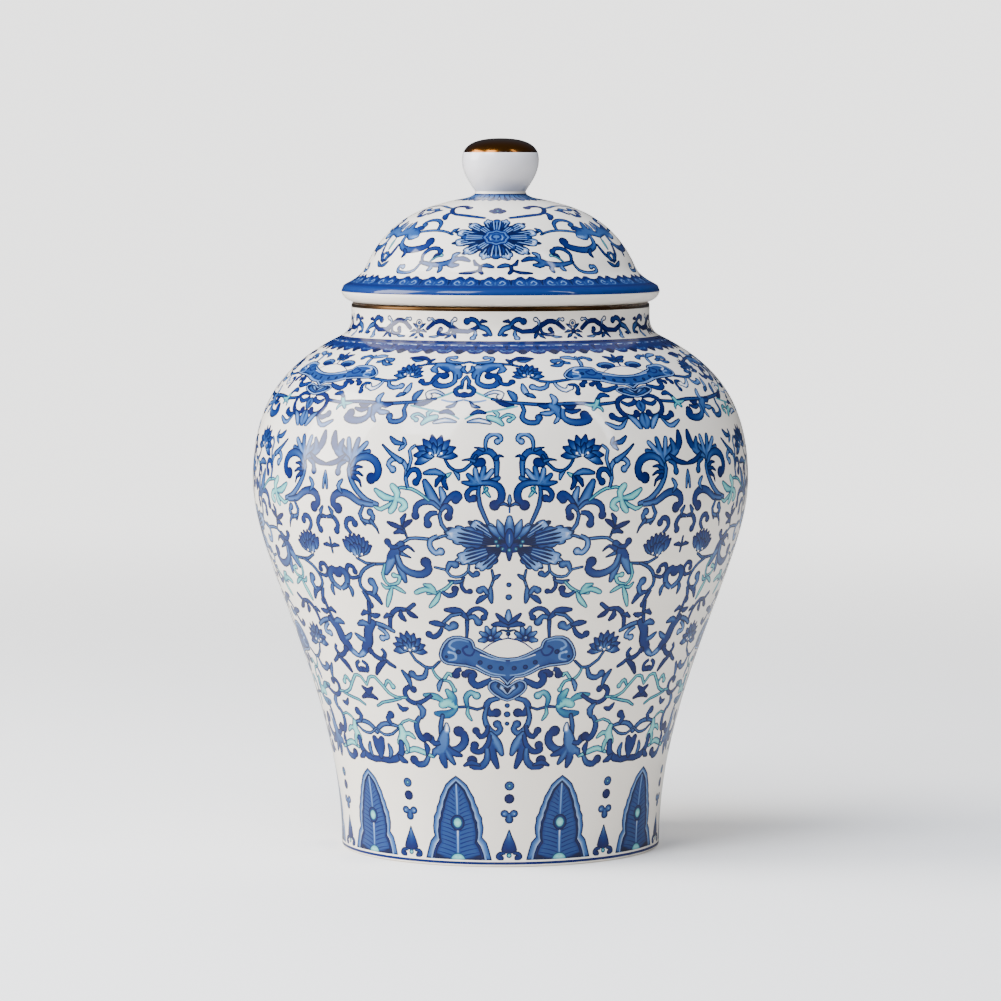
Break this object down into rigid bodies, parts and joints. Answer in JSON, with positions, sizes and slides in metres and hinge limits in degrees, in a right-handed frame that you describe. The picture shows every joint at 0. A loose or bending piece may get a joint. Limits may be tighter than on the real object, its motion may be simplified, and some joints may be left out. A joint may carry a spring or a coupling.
{
  "type": "ginger jar",
  "caption": "Lidded baluster ginger jar in painted porcelain, with a domed lift-off lid and a gilded finger knob.",
  "frame": {"origin": "centre of the foot ring, on the plane that the jar stands on", "axes": "+Z is the jar's axis, up towards the knob; the main lotus of the decoration faces -Y"},
  "size_m": [0.1824, 0.1824, 0.2606],
  "materials": {
    "jar_porcelain": "cream white glazed porcelain with cobalt blue underglaze scrollwork, unglazed foot ring",
    "lid_porcelain": "cream white glazed porcelain with cobalt blue underglaze scrollwork, unglazed collar edge",
    "knob_porcelain": "plain white glaze, gloss",
    "gold_lustre": "fired gold lustre, polished"
  },
  "bodies": {
    "jar": {"jar_body": "jar_porcelain", "mouth_gilding": "gold_lustre"},
    "lid": {"lid": "lid_porcelain", "knob": "knob_porcelain", "knob_gilding": "gold_lustre"}
  },
  "joints": [
    {"name": "lid_lift", "type": "slide", "parent": "jar", "child": "lid", "axis": [0, 0, 1], "range_m": [0, 0.08]}
  ]
}
